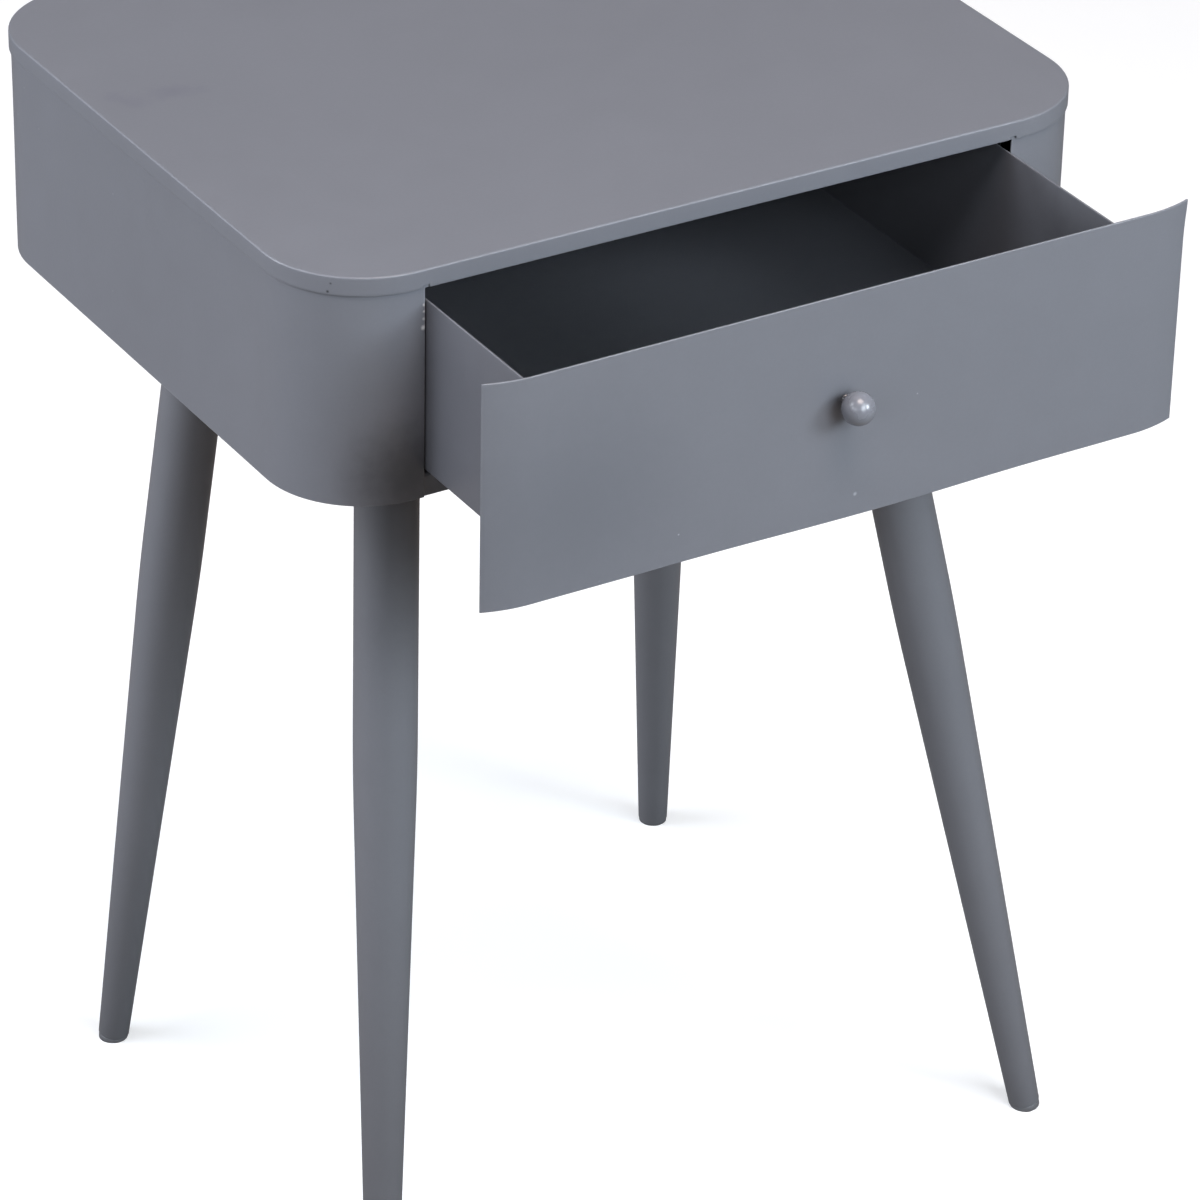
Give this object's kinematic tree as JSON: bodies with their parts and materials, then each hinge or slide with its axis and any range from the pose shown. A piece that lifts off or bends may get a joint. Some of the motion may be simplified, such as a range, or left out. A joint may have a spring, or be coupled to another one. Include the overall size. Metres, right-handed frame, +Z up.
{
  "type": "side table with drawer",
  "caption": "Painted steel side table: flat lid with turned-down lip over a round-cornered case, sliding drawer with bowed front and ball knob, splayed tapered legs.",
  "frame": {"origin": "on the floor, under the middle of the table as it stands with its drawer part open, 60.6 mm in front of the middle of the case", "axes": "+X to the right along the drawer's front, +Y towards the back (the drawer opens towards -Y), +Z up"},
  "size_m": [0.4441, 0.486, 0.602],
  "materials": {
    "grey_paint": "satin",
    "shaded_paint": "satin",
    "zinc_steel": "satin",
    "grey_plastic": "matte"
  },
  "bodies": {
    "table": {"lid": "grey_paint", "case_wrap": "grey_paint", "bottom_pan": "shaded_paint", "leg_seat_front_left": "zinc_steel", "leg_seat_front_right": "zinc_steel", "leg_seat_back_left": "zinc_steel", "leg_seat_back_right": "zinc_steel", "seat_rivets": "zinc_steel", "leg_studs": "zinc_steel", "leg_front_left": "grey_paint", "leg_front_right": "grey_paint", "leg_back_left": "grey_paint", "leg_back_right": "grey_paint", "leg_plug_front_left": "zinc_steel", "leg_plug_front_right": "zinc_steel", "leg_plug_back_left": "zinc_steel", "leg_plug_back_right": "zinc_steel", "foot_glide_front_left": "grey_plastic", "foot_glide_front_right": "grey_plastic", "foot_glide_back_left": "grey_plastic", "foot_glide_back_right": "grey_plastic", "drawer_guide_left": "shaded_paint", "drawer_guide_right": "shaded_paint", "drawer_stop": "shaded_paint"},
    "drawer": {"drawer_front": "grey_paint", "drawer_tray": "shaded_paint", "drawer_inner_front": "shaded_paint", "drawer_back": "shaded_paint", "knob": "grey_paint", "knob_screw": "zinc_steel"}
  },
  "joints": [
    {"name": "drawer_slide", "type": "slide", "parent": "table", "child": "drawer", "axis": [0, -1, 0], "range_m": [-0.1048, 0.1352]}
  ]
}
